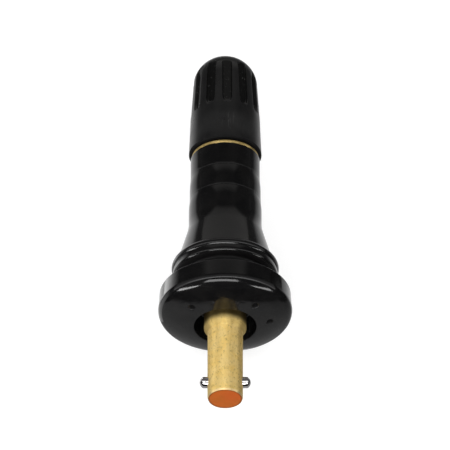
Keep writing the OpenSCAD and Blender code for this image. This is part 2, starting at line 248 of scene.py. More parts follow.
def rounded(corners, steps=5):
    """An outline through corners (r, s, radius), each corner rounded by its radius, if it has one."""
    places = [np.array(corner[:2], float) for corner in corners]
    last = len(corners) - 1
    points = []
    for i, corner in enumerate(corners):
        radius = corner[2] if len(corner) > 2 else 0
        if radius == 0 or i in (0, last):
            points.append(tuple(places[i]))
        else:
            points += corner_arc(places[i - 1], places[i], places[i + 1], radius, steps)
    return points


def dense(points, longest):
    """The outline with each long stretch split, so that no step is longer than longest."""
    out = [points[0]]
    for a, b in zip(points, points[1:]):
        parts = max(1, math.ceil(math.dist(a, b) / longest))
        out += [(a[0] + (b[0] - a[0]) * k / parts, a[1] + (b[1] - a[1]) * k / parts)
                for k in range(1, parts + 1)]
    return out


def turn_steps(count):
    """Angles of evenly spaced columns around the axis."""
    return np.linspace(0, TAU, count, endpoint=False)


def ring_faces(ring, after, count):
    """Faces between two rings. A ring is its first point and its number of points, 1 at a pole."""
    (a, a_points), (b, b_points) = ring, after
    faces = []
    for i in range(count):
        j = (i + 1) % count
        if a_points == 1:
            faces.append((a, b + j, b + i))
        elif b_points == 1:
            faces.append((a + i, a + j, b))
        else:
            faces.append((a + i, a + j, b + j, b + i))
    return faces


def skin(name, rows, psi, closed=False, sharp=SHARP):
    """A mesh round the axis. A row is (r, s) or (r, s, psi), each a number or one value a column."""
    count = len(psi)
    points, rings = [], []
    for row in rows:
        r, s = row[:2]
        around = row[2] if len(row) > 2 else psi
        pole = np.isscalar(r) and abs(r) < 1e-9
        rings.append((len(points), 1 if pole else count))
        if pole:
            points.append((0.0, float(s), 0.0))
            continue
        r, s = np.broadcast_to(r, count), np.broadcast_to(s, count)
        points += list(zip(r * np.sin(around), s, r * np.cos(around)))
    pairs = list(zip(rings, rings[1:]))
    if closed:
        pairs.append((rings[-1], rings[0]))
    faces = [face for ring, after in pairs for face in ring_faces(ring, after, count)]
    return solid(name, np.array(points), faces, sharp)


def place(name, data):
    """An object in the scene with that mesh, light or camera."""
    piece = bpy.data.objects.new(name, data)
    bpy.context.scene.collection.objects.link(piece)
    return piece


def solid(name, points, faces, sharp):
    """An object from points in millimetres, with its faces turned outwards and shaded smooth."""
    corners = np.array([(f[0], f[k], f[k + 1]) for f in faces for k in range(1, len(f) - 1)])
    a, b, c = (points[corners[:, k]] for k in range(3))
    if np.sum(a * np.cross(b, c)) < 0:
        faces = [f[::-1] for f in faces]
    mesh = bpy.data.meshes.new(name)
    mesh.from_pydata((points * MM).tolist(), [], faces)
    mesh.validate()
    mesh.shade_smooth()
    mesh.set_sharp_from_angle(angle=math.radians(sharp))
    return place(name, mesh)


def dress(piece, material, body, slot, *nodes):
    """Gives a new piece its material and its body, and hides the CAD nodes that it stands for; slot is
    not used.
    """
    piece.data.materials.clear()
    piece.data.materials.append(material)
    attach(piece, body)
    if nodes:
        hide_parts(*nodes)


# Shader helpers

def shader(name, **values):
    """A material with a principled shader whose fixed values are set on its own sockets."""
    material = bpy.data.materials.new(name)
    material.use_nodes = True
    tree = material.node_tree
    bsdf = next(n for n in tree.nodes if n.type == "BSDF_PRINCIPLED")
    for key, value in values.items():
        bsdf.inputs[key.replace("_", " ")].default_value = value
    return material, tree, bsdf


def bare_material(name):
    """A material without any nodes, and its tree."""
    material = bpy.data.materials.new(name)
    material.use_nodes = True
    material.node_tree.nodes.clear()
    return material, material.node_tree


def node(tree, kind, links=(), **values):
    """A node of a kind; values set properties or, by name, inputs; links are (output, input name)."""
    made = tree.nodes.new(kind)
    for key, value in values.items():
        if hasattr(made, key):
            setattr(made, key, value)
        else:
            made.inputs[key.replace("_", " ")].default_value = value
    for source, target in links:
        tree.links.new(source, made.inputs[target])
    return made


def object_coords(tree):
    """The point's place on the object, in metres."""
    return node(tree, "ShaderNodeTexCoord").outputs["Object"]


def split(tree, coords):
    """The x, y and z of a point."""
    return node(tree, "ShaderNodeSeparateXYZ", [(coords, 0)]).outputs


def distance(tree, coords, centre_mm):
    """The distance of a point from a centre, in metres."""
    apart = node(tree, "ShaderNodeVectorMath", [(coords, 0)], operation="DISTANCE")
    apart.inputs[1].default_value = [c * MM for c in centre_mm]
    return apart.outputs["Value"]


def noise(tree, coords, size_mm, detail, rough=0.55, stretch=(1, 1, 1), distortion=0.0):
    """Noise whose features are about size_mm across, stretched along the object's axes."""
    scale = [1 / (size_mm * MM * k) for k in stretch]
    mapping = node(tree, "ShaderNodeMapping", [(coords, "Vector")], Scale=scale)
    texture = node(tree, "ShaderNodeTexNoise", [(mapping.outputs["Vector"], "Vector")],
                   Scale=1.0, Detail=detail, Roughness=rough, Distortion=distortion)
    return texture.outputs["Fac"]


def remap(tree, value, low, high, to_low, to_high):
    """A value mapped smoothly from one range to another."""
    mapped = node(tree, "ShaderNodeMapRange", [(value, "Value")], interpolation_type="SMOOTHSTEP",
                  From_Min=low, From_Max=high, To_Min=to_low, To_Max=to_high)
    return mapped.outputs["Result"]


def blend(tree, factor, a, b):
    """Colour a where the factor is 0 and b where it is 1, each a tuple or another node's output."""
    mixed = node(tree, "ShaderNodeMix", data_type="RGBA")
    tree.links.new(factor, mixed.inputs["Factor"])
    for colour, socket in ((a, mixed.inputs[6]), (b, mixed.inputs[7])):
        if isinstance(colour, tuple):
            socket.default_value = (*colour, 1)
        else:
            tree.links.new(colour, socket)
    return mixed.outputs[2]


def maths(tree, operation, a, b=None):
    """A math node on one or two values, each a number or another node's output."""
    made = node(tree, "ShaderNodeMath", operation=operation)
    for value, socket in zip((a, b), made.inputs):
        if value is None:
            continue
        if isinstance(value, (int, float)):
            socket.default_value = value
        else:
            tree.links.new(value, socket)
    return made.outputs[0]


def times(tree, a, b):
    """The product of two values."""
    return maths(tree, "MULTIPLY", a, b)


def more(tree, value, mask, amount):
    """The value, with the amount added where the mask is 1."""
    return maths(tree, "ADD", value, times(tree, mask, amount))


def scaled(colour, share):
    """A colour times a share."""
    return tuple(share * c for c in colour)


def bump(tree, bsdf, height, depth_mm):
    """A bump of that depth for a height from 0 to 1."""
    made = node(tree, "ShaderNodeBump", [(height, "Height")], Strength=1.0, Distance=depth_mm * MM)
    tree.links.new(made.outputs["Normal"], bsdf.inputs["Normal"])


def spot(tree, coords, centre_mm, size_mm):
    """1 near a point of the object and 0 beyond size_mm from it."""
    return remap(tree, distance(tree, coords, centre_mm), 0.2 * size_mm * MM, size_mm * MM, 1, 0)


def radius_mask(tree, square, low, high, to_low, to_high):
    """A mask that changes between two radii, in mm, from the square of the radius."""
    return remap(tree, square, (low * MM) ** 2, (high * MM) ** 2, to_low, to_high)


def band_mask(tree, coords, low, high, soft, inner=None, outer=None):
    """1 between two heights, in mm, and 0 elsewhere, also within inner and beyond outer."""
    fade = 0.4
    x, s, z = split(tree, coords)
    square = maths(tree, "ADD", times(tree, x, x), times(tree, z, z))
    above = remap(tree, s, (low - soft) * MM, (low + soft) * MM, 0, 1)
    below = remap(tree, s, (high - soft) * MM, (high + soft) * MM, 1, 0)
    mask = times(tree, above, below)
    if inner is not None:
        mask = times(tree, mask, radius_mask(tree, square, inner, inner + fade, 0, 1))
    if outer is not None:
        mask = times(tree, mask, radius_mask(tree, square, outer - fade, outer, 1, 0))
    return mask


def mark_mask(tree, coords):
    """1 in the mould marks of the underside."""
    size = 0.75
    mask = None
    for angle in MARK_ANGLES:
        turn = math.radians(angle)
        centre = (MARK_R * math.cos(turn), UNDERSIDE_S + 0.5, MARK_R * math.sin(turn))
        pit = spot(tree, coords, centre, size)
        mask = pit if mask is None else maths(tree, "MAXIMUM", mask, pit)
    return mask


# Materials

def rubber_material():
    """Glossy moulded rubber with smears and specks, dull in the rim groove and in the mould marks."""
    material, tree, bsdf = shader("glossy_rubber")
    coords = object_coords(tree)
    groove = band_mask(tree, coords, 0.0, GROOVE_S + 0.15, 0.15, outer=BEAD_R - 0.2)
    roll = band_mask(tree, coords, GROOVE_S + 0.8, BEAD_S + 0.1, 0.15, inner=BEAD_R - 1.0)
    underside = band_mask(tree, coords, UNDERSIDE_S - 0.6, UNDERSIDE_S + 1.2, 0.3)
    pits = mark_mask(tree, coords)
    cloud = remap(tree, noise(tree, coords, 2.2, detail=5), 0.3, 0.7, 0, 1)
    speck = remap(tree, noise(tree, coords, 0.16, detail=2), 0.735, 0.78, 0, 0.5)
    smear = noise(tree, coords, 3.5, detail=6, rough=0.6, distortion=0.6)
    dust = times(tree, groove, remap(tree, cloud, 0, 1, 0.6, 1))
    dull = maths(tree, "MAXIMUM", dust, pits)

    tone = blend(tree, cloud, (0.0032, 0.0032, 0.0034), (0.0056, 0.0054, 0.0054))
    tone = blend(tree, dust, tone, (0.013, 0.0125, 0.0125))
    tone = blend(tree, speck, tone, (0.10, 0.10, 0.10))
    tree.links.new(tone, bsdf.inputs["Base Color"])

    rough = remap(tree, smear, 0.3, 0.72, 0.07, 0.15)
    rough = more(tree, rough, dull, 0.5)
    rough = more(tree, rough, roll, 0.06)
    tree.links.new(rough, bsdf.inputs["Roughness"])

    shine = remap(tree, dust, 0, 1, 0.36, 0.12)
    shine = times(tree, shine, remap(tree, pits, 0, 0.8, 1, 0.05))
    tree.links.new(shine, bsdf.inputs["Specular IOR Level"])

    waves = noise(tree, coords, 1.2, detail=1, distortion=0.6)
    waves = times(tree, waves, times(tree, underside, 6))
    grain = noise(tree, coords, 0.35, detail=3)
    bump(tree, bsdf, maths(tree, "ADD", grain, waves), 0.004)
    return material


def cap_material():
    """Satin moulded plastic with a painted sheen round its skirt and light scuffs at its front that are
    partly a painted highlight; the floors of its flutes are darker and glossier, with specks of dust.
    """
    material, tree, bsdf = shader("satin_plastic")
    coords = object_coords(tree)
    sunk = node(tree, "ShaderNodeAttribute", attribute_name="sunk").outputs["Fac"]
    rim = band_mask(tree, coords, CAP_S - 0.5, CAP_S + 0.2, 0.1)
    skirt = band_mask(tree, coords, CAP_S + 1.0, GRIP_S - 1.8, 0.9)
    cloud = remap(tree, noise(tree, coords, 1.8, detail=5), 0.3, 0.7, 0, 1)
    scratch = noise(tree, coords, 0.2, detail=2, stretch=(0.9, 9, 2), distortion=0.8)
    scuff_and_highlight_spot = spot(tree, coords, (0.9, 26.3, 4.8), 2.2)
    scuffs_and_highlight = times(tree, remap(tree, scratch, 0.58, 0.70, 0, 0.6), scuff_and_highlight_spot)
    sheen_patches = remap(tree, noise(tree, coords, 3.0, detail=2), 0.35, 0.65, 0.25, 0.6)
    speck = remap(tree, noise(tree, coords, 0.36, detail=3), 0.62, 0.74, 0, 0.4)

    tone = blend(tree, cloud, (0.0042, 0.0042, 0.0044), (0.0066, 0.0065, 0.0064))
    # Painted sheen: a paler band round the skirt.
    tone = blend(tree, times(tree, skirt, sheen_patches), tone, (0.0165, 0.0165, 0.0165))
    # Light streaks at the front of the skirt: partly scuffs, partly a painted highlight.
    tone = blend(tree, scuffs_and_highlight, tone, (0.06, 0.06, 0.06))
    tone = blend(tree, sunk, tone, (0.0045, 0.0045, 0.0043))
    tone = blend(tree, times(tree, speck, sunk), tone, (0.07, 0.07, 0.068))
    tree.links.new(tone, bsdf.inputs["Base Color"])

    rough = remap(tree, noise(tree, coords, 2.6, detail=6, rough=0.6), 0.3, 0.7, 0.26, 0.36)
    rough = more(tree, rough, rim, 0.3)
    rough = more(tree, rough, sunk, -0.14)
    tree.links.new(rough, bsdf.inputs["Roughness"])

    shine = remap(tree, sunk, 0, 1, 0.44, 0.3)
    shine = times(tree, shine, remap(tree, rim, 0, 1, 1, 0.1))
    tree.links.new(shine, bsdf.inputs["Specular IOR Level"])
    bump(tree, bsdf, noise(tree, coords, 0.09, detail=3), 0.003)
    return material


def brass_material(name, base, dull):
    """Turned brass, rougher along the axis than around it, with dark specks and fine rings; painted
    shade at the root in the recess and on the shank's slope, a tarnished collar with painted shade, and
    a painted highlight on the end's edge.
    """
    material, tree, bsdf = shader(name, Metallic=0.92, Anisotropic=0.8, Anisotropic_Rotation=0.25)
    tangent = node(tree, "ShaderNodeTangent", direction_type="RADIAL", axis="Y")
    tree.links.new(tangent.outputs["Tangent"], bsdf.inputs["Tangent"])
    coords = object_coords(tree)
    collar = band_mask(tree, coords, NECK_S - 0.5, COLLAR_S + 0.15, 0.12)
    recess_shade = band_mask(tree, coords, ROOT_S + 0.35, BOND_LOW_S, 0.75)
    slope = band_mask(tree, coords, SHANK_S, ROOT_S, 0.12)
    edge = band_mask(tree, coords, END_S - 1, END_S + EDGE_LEN, 0.06)
    cloud = noise(tree, coords, 1.5, detail=6, rough=0.65)
    speck = noise(tree, coords, 0.34, detail=5, rough=0.75, stretch=(1, 1.5, 1))
    spots = remap(tree, speck, 0.50, 0.70, 0, 0.7)
    streak = noise(tree, coords, 0.22, detail=3, stretch=(1, 14, 1))
    tarnish_and_shade = times(tree, collar, remap(tree, cloud, 0.3, 0.7, 0.45, 0.7))

    tone = blend(tree, remap(tree, cloud, 0.38, 0.72, 0, 1), base, dull)
    tone = blend(tree, remap(tree, streak, 0.4, 0.75, 0, 0.4), tone, scaled(dull, 0.82))
    tone = blend(tree, spots, tone, scaled(dull, 0.42))
    # Painted shade on the shank's slope, which dims its highlight.
    tone = blend(tree, times(tree, slope, 0.6), tone, scaled(dull, 0.55))
    # Painted shade: the root is darkened where it sinks into the rubber's recess.
    tone = blend(tree, times(tree, recess_shade, 0.95), tone, (0.05, 0.032, 0.008))
    # Painted highlight on the chamfer at the stem's end.
    tone = blend(tree, times(tree, edge, 0.4), tone, (0.94, 0.72, 0.46))
    # The collar darkened all round: partly tarnish, partly painted shade of the gap between cap and
    # rubber.
    tone = blend(tree, tarnish_and_shade, tone, (0.085, 0.05, 0.015))
    tree.links.new(tone, bsdf.inputs["Base Color"])

    rough = remap(tree, cloud, 0.3, 0.75, 0.54, 0.64)
    rough = more(tree, rough, spots, 0.2)
    rough = more(tree, rough, collar, -0.22)
    rough = more(tree, rough, edge, -0.08)
    tree.links.new(rough, bsdf.inputs["Roughness"])
    bump(tree, bsdf, noise(tree, coords, 0.07, detail=2, stretch=(60, 1, 60)), 0.002)
    return material


def wire_material():
    """Drawn steel wire, faintly clouded."""
    material, tree, bsdf = shader("spring_wire", Metallic=1.0)
    coords = object_coords(tree)
    cloud = noise(tree, coords, 0.6, detail=5)
    steel = (0.55, 0.55, 0.56)
    tone = blend(tree, remap(tree, cloud, 0.35, 0.7, 0, 1), steel, scaled(steel, 0.86))
    tree.links.new(tone, bsdf.inputs["Base Color"])
    tree.links.new(remap(tree, cloud, 0.3, 0.7, 0.22, 0.34), bsdf.inputs["Roughness"])
    bump(tree, bsdf, noise(tree, coords, 0.12, detail=2), 0.0015)
    return material


def pin_material():
    """Bright chrome, faintly clouded and stained."""
    material, tree, bsdf = shader("chromed_steel", Metallic=1.0)
    coords = object_coords(tree)
    cloud = noise(tree, coords, 0.6, detail=5)
    stain = remap(tree, noise(tree, coords, 0.45, detail=4), 0.52, 0.72, 0, 0.5)
    tone = blend(tree, remap(tree, cloud, 0.35, 0.7, 0, 1), (0.74, 0.72, 0.73), (0.62, 0.60, 0.61))
    tone = blend(tree, stain, tone, (0.20, 0.16, 0.16))
    tree.links.new(tone, bsdf.inputs["Base Color"])
    rough = remap(tree, cloud, 0.3, 0.7, 0.06, 0.13)
    tree.links.new(more(tree, rough, stain, 0.2), bsdf.inputs["Roughness"])
    bump(tree, bsdf, noise(tree, coords, 0.12, detail=2), 0.0015)
    return material


def plug_material():
    """Matt orange, redder at one side, with a dark seam around it."""
    material, tree, bsdf = shader("orange_plug", Specular_IOR_Level=0.1)
    coords = object_coords(tree)
    cloud = noise(tree, coords, 1.6, detail=5)
    red = spot(tree, coords, (1.2, END_S - 0.4, 1.2), 2.8)
    seam = band_mask(tree, coords, END_S - 1, END_S + 1, 0.1, inner=PLUG_R - 0.32)
    clouded = remap(tree, cloud, 0.3, 0.72, 0, 1)
    tone = blend(tree, clouded, (0.355, 0.076, 0.007), (0.30, 0.076, 0.009))
    tone = blend(tree, times(tree, red, 0.55), tone, (0.37, 0.058, 0.007))
    tone = blend(tree, seam, tone, (0.10, 0.03, 0.005))
    tree.links.new(tone, bsdf.inputs["Base Color"])
    tree.links.new(remap(tree, cloud, 0.3, 0.7, 0.42, 0.58), bsdf.inputs["Roughness"])
    bump(tree, bsdf, noise(tree, coords, 0.15, detail=3), 0.004)
    return material


def soft_material(name, base, low, high):
    """A soft moulded rubber with a fine grain and a roughness from low to high."""
    material, tree, bsdf = shader(name, Specular_IOR_Level=0.35)
    coords = object_coords(tree)
    cloud = noise(tree, coords, 0.9, detail=5)
    tone = blend(tree, remap(tree, cloud, 0.3, 0.7, 0, 1), base, scaled(base, 0.75))
    tree.links.new(tone, bsdf.inputs["Base Color"])
    tree.links.new(remap(tree, cloud, 0.3, 0.7, low, high), bsdf.inputs["Roughness"])
    bump(tree, bsdf, noise(tree, coords, 0.08, detail=3), 0.003)
    return material


RUBBER = rubber_material()
CAP = cap_material()
BRASS = brass_material("turned_brass", (0.97, 0.74, 0.305), (0.91, 0.66, 0.22))
CORE_BRASS = brass_material("core_brass", (0.80, 0.60, 0.27), (0.66, 0.47, 0.19))
CHROME = pin_material()
WIRE = wire_material()
ORANGE = plug_material()
SEAL = soft_material("seal_rubber", (0.020, 0.020, 0.021), 0.5, 0.65)
GASKET = soft_material("red_gasket", (0.42, 0.03, 0.02), 0.4, 0.55)

CORE_MATERIALS = {
    "core_plug": CORE_BRASS,
    "core_barrel": CORE_BRASS,
    "core_pin": CORE_BRASS,
    "core_cup": CORE_BRASS,
    "core_gasket": GASKET,
    "core_washer": SEAL,
    "cap_seal": SEAL,
}


# Rubber body

def underside_outline():
    """The recess, then the domed underside, an arc that runs smoothly into the lip's round."""
    lip = np.array((FLANGE_R - LIP_ROUND, LIP_S))
    out = np.array((math.cos(math.radians(LIP_ANGLE)), math.sin(math.radians(LIP_ANGLE))))
    rim = np.array((RECESS_R, UNDERSIDE_S))
    chord = rim - lip - LIP_ROUND * out
    dome_r = -(chord @ chord) / (2 * chord @ out)
    centre = lip + (LIP_ROUND - dome_r) * out
    start = math.degrees(math.atan2(rim[1] - centre[1], rim[0] - centre[0]))
    dome = arc(centre, dome_r, start, LIP_ANGLE, 84)
    recess = [(ROOT_R, RECESS_S), (RECESS_FLOOR_R, RECESS_S, 0.3), (*rim, 0.09), dome[5]]
    return rounded(recess, 8) + dome[6:] + arc(lip, LIP_ROUND, LIP_ANGLE, 0, 44)[1:]


def bead_outline():
    """The flange's side, the rim groove and the bead, a roll above a band that is a little smaller."""
    groove_in = GROOVE_R + GROOVE_FILLET
    band_r = BEAD_R - BEAD_STEP
    side = rounded([
        (FLANGE_R, LIP_S),
        (FLANGE_R, LIP_S + 0.02),
        (PARTING_R, LIP_S + 0.06, 0.03),
        (SEAT_R, 0.0, 0.16),
        (groove_in, 0.0),
    ], 10)
    lower = arc((groove_in, GROOVE_FILLET), GROOVE_FILLET, 270, 180, 10)
    upper = arc((groove_in, GROOVE_S - GROOVE_FILLET), GROOVE_FILLET, 180, 90, 10)
    edge = arc((band_r - BEAD_EDGE, GROOVE_S + BEAD_EDGE), BEAD_EDGE, -90, 0, 16)
    roll = arc((BEAD_R - BEAD_ROUND, BEAD_S - BEAD_ROUND), BEAD_ROUND, -50, 78, 28)
    return side[1:] + lower[1:] + upper + edge + [(band_r, GROOVE_S + BEAD_BAND)] + roll


def soft_step(r, s):
    """One step of the neck, from radius r inwards, that steepens up to a fine ridge at s."""
    slope = [(r - BAND_STEP * t * t, s + STEP_LEN * (t - 1)) for t in np.linspace(0, 1, 15)]
    ridge = []
    for t in np.linspace(0, math.pi, 9):
        ridge.append((r - BAND_STEP + RIDGE_H * math.sin(t) ** 2, s + 0.01 + RIDGE_W * t / math.pi))
    return slope[:-1] + ridge


def neck_outline():
    """The flare, the three bands of the neck and the lip around the collar."""
    centre = (NECK_R + FLARE_BLEND, FLARE_S)
    start = touch_angle((FLARE_R, BEAD_S), centre, FLARE_BLEND, -1) + 360
    flare = arc(centre, FLARE_BLEND, start, 180, 40)
    foot = arc((FLARE_R + 0.16, BEAD_S + 0.14), FLARE_FILLET, 275, 196, 6)
    steps = soft_step(NECK_R, BAND_S) + soft_step(NECK_R - BAND_STEP, TOP_BAND_S)
    lip = rounded([
        steps[-1],
        (NECK_R - 2 * BAND_STEP, NECK_S + 0.02, 0.05),
        (COLLAR_R - 0.06, NECK_S + 0.1, 0.04),
        (COLLAR_R - 0.16, NECK_S),
        (BOND_R, NECK_S),
    ])
    return foot + dense(flare + steps + lip[1:], 0.3)


def mark_rows(outline, psi, marks):
    """The rows of the outline, with each mould mark pressed into the underside as a shallow pan."""
    rows = []
    for r, s in outline:
        if s < LIP_S and abs(r - MARK_R) < MARK_D:
            s = np.full(len(psi), s)
            for m in marks:
                x = r * np.sin(psi) - MARK_R * math.sin(m)
                z = r * np.cos(psi) - MARK_R * math.cos(m)
                share = 2 * np.hypot(x, z) / MARK_D
                s = s + MARK_DEPTH * np.maximum(1 - share ** 4, 0)
        rows.append((r, s))
    return rows


def rubber_piece():
    """The moulded body, with more columns across each mould mark."""
    bond = [(BOND_R, BOND_HIGH_S), (ROOT_R, BOND_LOW_S)]
    outline = underside_outline() + bead_outline() + neck_outline() + bond
    marks = [math.radians(90 - a) for a in MARK_ANGLES]
    psi = turn_steps(RUBBER_COLUMNS)
    for m in marks:
        away = np.abs((psi - m + math.pi) % TAU - math.pi)
        fine = np.linspace(m - MARK_SPAN, m + MARK_SPAN, MARK_COLUMNS) % TAU
        psi = np.concatenate([psi[away > MARK_SPAN + 0.005], fine])
    psi = np.sort(psi)
    piece = skin("rubber_skin", mark_rows(outline, psi, marks), psi, closed=True)
    dress(piece, RUBBER, "valve", "rubber", "rubber_body")


# Stem, pin and plug

def thread_cut(phase):
    """Depth of the thread below its crest, from 0 to 1, at a phase of its pitch from 0 to 1."""
    crest_share = 0.14
    flank_share = 0.70
    roundness = 0.35
    away = np.abs((phase + 0.5) % 1 - 0.5) * 2
    flank = np.clip((away - crest_share) / flank_share, 0, 1)
    return smooth(flank) * roundness + flank * (1 - roundness)


def stem_outline():
    """The stem's outside from its end up to the collar and the foot of the thread."""
    outer = rounded([
        (PLUG_R + PLUG_GAP, END_S),
        (STEM_R - STEM_EDGE, END_S, 0.02),
        (STEM_R, END_S + EDGE_LEN, 0.05),
        (STEM_R, SHANK_S, ROOT_ROUND),
        (ROOT_R, ROOT_S, ROOT_ROUND),
        (ROOT_R, BOND_LOW_S),
        (BOND_R, BOND_HIGH_S),
        (BOND_R, NECK_S),
    ])
    collar = [(COLLAR_R - 0.2, NECK_S + 0.005)]
    collar += arc((COLLAR_R - COLLAR_ROUND, COLLAR_S - 0.05), COLLAR_ROUND, -45, 4, 14)
    return dense(outer, 1.2) + collar + [(THREAD_R + 0.25, COLLAR_S), (THREAD_R, COLLAR_S)]


def thread_rows(psi):
    """Rows of the cap thread, which fades in above the collar and is chamfered at the tip."""
    fade_from = COLLAR_S + 0.1
    fade_len = 0.6
    rows = []
    for s in np.arange(COLLAR_S + 0.03, TIP_S, THREAD_PITCH / STEM_THREAD_ROWS):
        fade = np.clip((s - fade_from) / fade_len, 0, 1)
        crest = THREAD_R - THREAD_DEPTH * fade * thread_cut(s / THREAD_PITCH - psi / TAU)
        rows.append((np.minimum(crest, THREAD_R + TIP_S - TIP_EDGE - s), s))
    return rows


def bore_outline():
    """The stem's inside from its tip down to the seat of the plug."""
    return [
        (THREAD_R - TIP_EDGE, TIP_S),
        (CORE_THREAD_R + 0.15, TIP_S),
        (CORE_THREAD_R, TIP_S - 0.25),
        (CORE_THREAD_R, CORE_THREAD_S),
        (CORE_BORE_R, CORE_SEAT_S),
        (CORE_BORE_R, CORE_BORE_S),
        (AIR_R, AIR_S),
        (AIR_R, END_S + PLUG_HEAD),
        (PLUG_R + PLUG_GAP, END_S + PLUG_HEAD),
    ]


def drill_port(piece):
    """Cuts the side port through the stem's wall on its -Z side."""
    drill_rows = [(0.0, 0.0), (PORT_R, 0.0), (PORT_R, PORT_LEN), (0.0, PORT_LEN)]
    drill = skin("port_drill", drill_rows, turn_steps(PORT_COLUMNS))
    drill.rotation_euler = (-math.pi / 2, 0, 0)
    drill.location = (0, PORT_S * MM, 0)
    cut = piece.modifiers.new("port", "BOOLEAN")
    cut.object = drill
    cut.operation = "DIFFERENCE"
    cut.solver = "EXACT"
    bpy.context.view_layer.update()
    depsgraph = bpy.context.evaluated_depsgraph_get()
    made = bpy.data.meshes.new_from_object(piece.evaluated_get(depsgraph))
    piece.modifiers.clear()
    piece.data = made
    made.set_sharp_from_angle(angle=math.radians(STEM_SHARP))
    bpy.data.objects.remove(drill)


def stem_piece():
    """The turned stem with its thread, bores and side port."""
    psi = turn_steps(STEM_COLUMNS)
    rows = stem_outline() + thread_rows(psi) + bore_outline()
    piece = skin("stem_turned", rows, psi, closed=True, sharp=STEM_SHARP)
    drill_port(piece)
    dress(piece, BRASS, "valve", "brass", "valve_stem")


def pin_piece():
    """The cross pin along X, with a domed end at either side."""
    ball = (PIN_R ** 2 + PIN_DOME ** 2) / (2 * PIN_DOME)
    half = math.degrees(math.asin(PIN_R / ball))
    dome = arc((0, PIN_HALF - ball), ball, 90, 90 - half, 14)[1:-1]
    edge = rounded([dome[-1], (PIN_R, PIN_HALF - PIN_DOME, PIN_ROUND), (PIN_R, 0)], 6)
    side = [(0.0, PIN_HALF)] + dome[:-1] + edge
    rows = side + [(r, -s) for r, s in side[::-1]]
    piece = skin("pin_chromed", rows, turn_steps(PIN_COLUMNS), sharp=ROUND_SHARP)
    piece.data.transform(Matrix.Rotation(-math.pi / 2, 4, "Z"))
    for v in piece.data.vertices:
        v.co.y += PIN_S * MM
    dress(piece, CHROME, "valve", "pin_steel", "cross_pin")


def plug_piece():
    """The orange plug: a disc in the stem's end with a shank in the air bore."""
    head = END_S + PLUG_HEAD - PLUG_GAP
    shank_r = AIR_R - PLUG_GAP
    rows = rounded([
        (0.0, END_S),
        (PLUG_R, END_S, 0.05),
        (PLUG_R, head),
        (shank_r, head),
        (shank_r, END_S + PLUG_LEN, 0.1),
        (0.0, END_S + PLUG_LEN),
    ])
    piece = skin("plug_end", rows, turn_steps(PLUG_COLUMNS))
    dress(piece, ORANGE, "valve", "orange_plug", "end_plug")


# Cap

def flute_sink(r, s, across, delta):
    """The cap's radius after its flutes are sunk, with flat floors, and how far each point is sunk."""
    lean = (GRIP_R - CROWN_R) / (CROWN_S - GRIP_S)
    floor_r = (GRIP_R - FLUTE_DEPTH - (s - GRIP_S) * lean) / np.cos(delta)
    beside = np.abs(across) - (FLUTE_W / 2 - FLUTE_ROUND)
    below = FLUTE_ROUND - (s - GRIP_S) * FLUTE_FOOT
    corner = np.hypot(np.maximum(beside, 0), np.maximum(below, 0))
    inside = FLUTE_ROUND - corner - np.minimum(np.maximum(beside, below), 0)
    share = smooth(np.clip(inside / FLUTE_WALL, 0, 1))
    depth = np.maximum(r - floor_r, 0)
    return r - share * depth, share * np.clip(depth / 0.15, 0, 1)


def cap_outline():
    """The cap's outside, with points close together where the flutes start."""
    side = rounded([
        (CAP_BORE_R + MOUTH_GAP, CAP_S + 0.1),
        (CAP_BORE_R + MOUTH_GAP + 0.1, CAP_S, 0.04),
        (CAP_R - CAP_EDGE, CAP_S, 0.06),
        (CAP_R, CAP_S + CAP_EDGE, 0.09),
        (GRIP_R, GRIP_S, GRIP_BLEND),
        (CROWN_R, CROWN_S),
    ], 10)
    foot_low = GRIP_S - 0.3
    foot_high = GRIP_S + 0.7
    skirt = dense([p for p in side if p[1] < foot_low], 0.4)
    foot = dense([p for p in side if foot_low <= p[1] < foot_high], 0.035)
    grip = dense([foot[-1]] + [p for p in side if p[1] >= foot_high], 0.25)[1:]
    dome = arc((0, CROWN_S), CROWN_R, 0, math.degrees(math.acos(CROWN_FLAT_R / CROWN_R)), 52)[1:]
    return skirt + foot + grip + [(r, min(s, CROWN_TOP_S)) for r, s in dome]


def flute_columns(r):
    """Angles, from a flute's middle, of the columns of that flute and of the land after it."""
    floor = np.linspace(0, 0.46, 5)
    wall = np.linspace(0.5, 0.76, 14)
    shoulder = (0.80, 0.86, 0.95)
    half = np.concatenate([floor, wall, shoulder])
    across = np.concatenate([-half[:0:-1], half])
    land = np.array((0.3, 0.65, 1.0))
    period = TAU / FLUTES
    delta = np.arcsin(across / max(r, FLUTE_END_R))
    gap = period / 2 - delta[-1]
    return np.concatenate([delta, delta[-1] + gap * land, period + delta[0] - gap * land[1::-1]])


def cap_rows():
    """Rows of the cap's outside, and how far each of their points is sunk in a flute."""
    period = TAU / FLUTES
    rows, sunk = [], []
    for r, s in cap_outline():
        delta = flute_columns(r)
        psi = np.concatenate([FLUTE_TURN + delta + period * i for i in range(FLUTES)])
        depth = np.zeros(len(psi))
        if s > GRIP_S - 0.1 and r > FLUTE_END_R:
            nearest = (delta + period / 2) % period - period / 2
            sunk_r, share = flute_sink(r, s, r * np.sin(nearest), nearest)
            r, depth = np.tile(sunk_r, FLUTES), np.tile(share, FLUTES)
        rows.append((r, s, psi))
        sunk.append(depth)
    return rows, sunk


